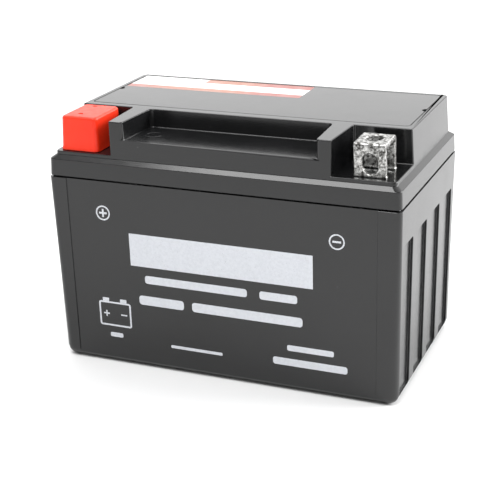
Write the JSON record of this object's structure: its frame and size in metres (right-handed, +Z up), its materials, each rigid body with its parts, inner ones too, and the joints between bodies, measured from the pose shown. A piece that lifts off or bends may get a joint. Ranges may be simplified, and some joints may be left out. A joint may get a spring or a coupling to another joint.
{
  "type": "motorcycle battery",
  "caption": "Sealed block battery with stepped lid, bracket terminals in open corner notches, a red terminal cap, a front tray and ribbed ends.",
  "frame": {"origin": "centre of the base, on the surface the battery stands on", "axes": "+X along the length towards the negative terminal, +Z up, the terminal side faces -Y"},
  "size_m": [0.15, 0.087, 0.106],
  "materials": {
    "black_case_plastic": "black polypropylene, fine moulded satin",
    "black_lid_plastic": "black polypropylene, semi-gloss",
    "label_film": "white film label with coral bands, blank",
    "red_cap_plastic": "red soft vinyl, satin",
    "tinned_lead": "cast lead with a mottled tin finish",
    "seal_resin": "cured dark resin",
    "valve_rubber": "matt black rubber",
    "positive_paste": "brown lead dioxide paste on a lead grid",
    "negative_paste": "grey sponge lead paste on a lead grid",
    "glass_mat": "white absorbent glass mat, gelled"
  },
  "bodies": {
    "battery": {"case": "black_case_plastic", "lid": "black_lid_plastic", "top_cover_plate": "black_lid_plastic", "top_label": "label_film", "positive_terminal": "tinned_lead", "negative_terminal": "tinned_lead", "positive_terminal_seal": "seal_resin", "negative_terminal_seal": "seal_resin", "positive_post": "tinned_lead", "negative_post": "tinned_lead", "intercell_link_1": "tinned_lead", "intercell_link_2": "tinned_lead", "intercell_link_3": "tinned_lead", "intercell_link_4": "tinned_lead", "intercell_link_5": "tinned_lead", "cell_1_positive_plates": "positive_paste", "cell_1_negative_plates": "negative_paste", "cell_1_separator": "glass_mat", "cell_2_positive_plates": "positive_paste", "cell_2_negative_plates": "negative_paste", "cell_2_separator": "glass_mat", "cell_3_positive_plates": "positive_paste", "cell_3_negative_plates": "negative_paste", "cell_3_separator": "glass_mat", "cell_4_positive_plates": "positive_paste", "cell_4_negative_plates": "negative_paste", "cell_4_separator": "glass_mat", "cell_5_positive_plates": "positive_paste", "cell_5_negative_plates": "negative_paste", "cell_5_separator": "glass_mat", "cell_6_positive_plates": "positive_paste", "cell_6_negative_plates": "negative_paste", "cell_6_separator": "glass_mat"},
    "red_cap": {"red_terminal_cap": "red_cap_plastic"},
    "valve_1": {"valve_cap_1": "valve_rubber"},
    "valve_2": {"valve_cap_2": "valve_rubber"},
    "valve_3": {"valve_cap_3": "valve_rubber"},
    "valve_4": {"valve_cap_4": "valve_rubber"},
    "valve_5": {"valve_cap_5": "valve_rubber"},
    "valve_6": {"valve_cap_6": "valve_rubber"}
  },
  "joints": [
    {"name": "red_cap_pull", "type": "slide", "parent": "battery", "child": "red_cap", "axis": [0, 0, 1], "range_m": [0, 0.022]},
    {"name": "valve_1_lift", "type": "slide", "parent": "battery", "child": "valve_1", "axis": [0, 0, 1], "range_m": [0, 0.0005], "stiffness_N_per_m": 250, "springref_m": -0.001},
    {"name": "valve_2_lift", "type": "slide", "parent": "battery", "child": "valve_2", "axis": [0, 0, 1], "range_m": [0, 0.0005], "stiffness_N_per_m": 250, "springref_m": -0.001},
    {"name": "valve_3_lift", "type": "slide", "parent": "battery", "child": "valve_3", "axis": [0, 0, 1], "range_m": [0, 0.0005], "stiffness_N_per_m": 250, "springref_m": -0.001},
    {"name": "valve_4_lift", "type": "slide", "parent": "battery", "child": "valve_4", "axis": [0, 0, 1], "range_m": [0, 0.0005], "stiffness_N_per_m": 250, "springref_m": -0.001},
    {"name": "valve_5_lift", "type": "slide", "parent": "battery", "child": "valve_5", "axis": [0, 0, 1], "range_m": [0, 0.0005], "stiffness_N_per_m": 250, "springref_m": -0.001},
    {"name": "valve_6_lift", "type": "slide", "parent": "battery", "child": "valve_6", "axis": [0, 0, 1], "range_m": [0, 0.0005], "stiffness_N_per_m": 250, "springref_m": -0.001}
  ]
}
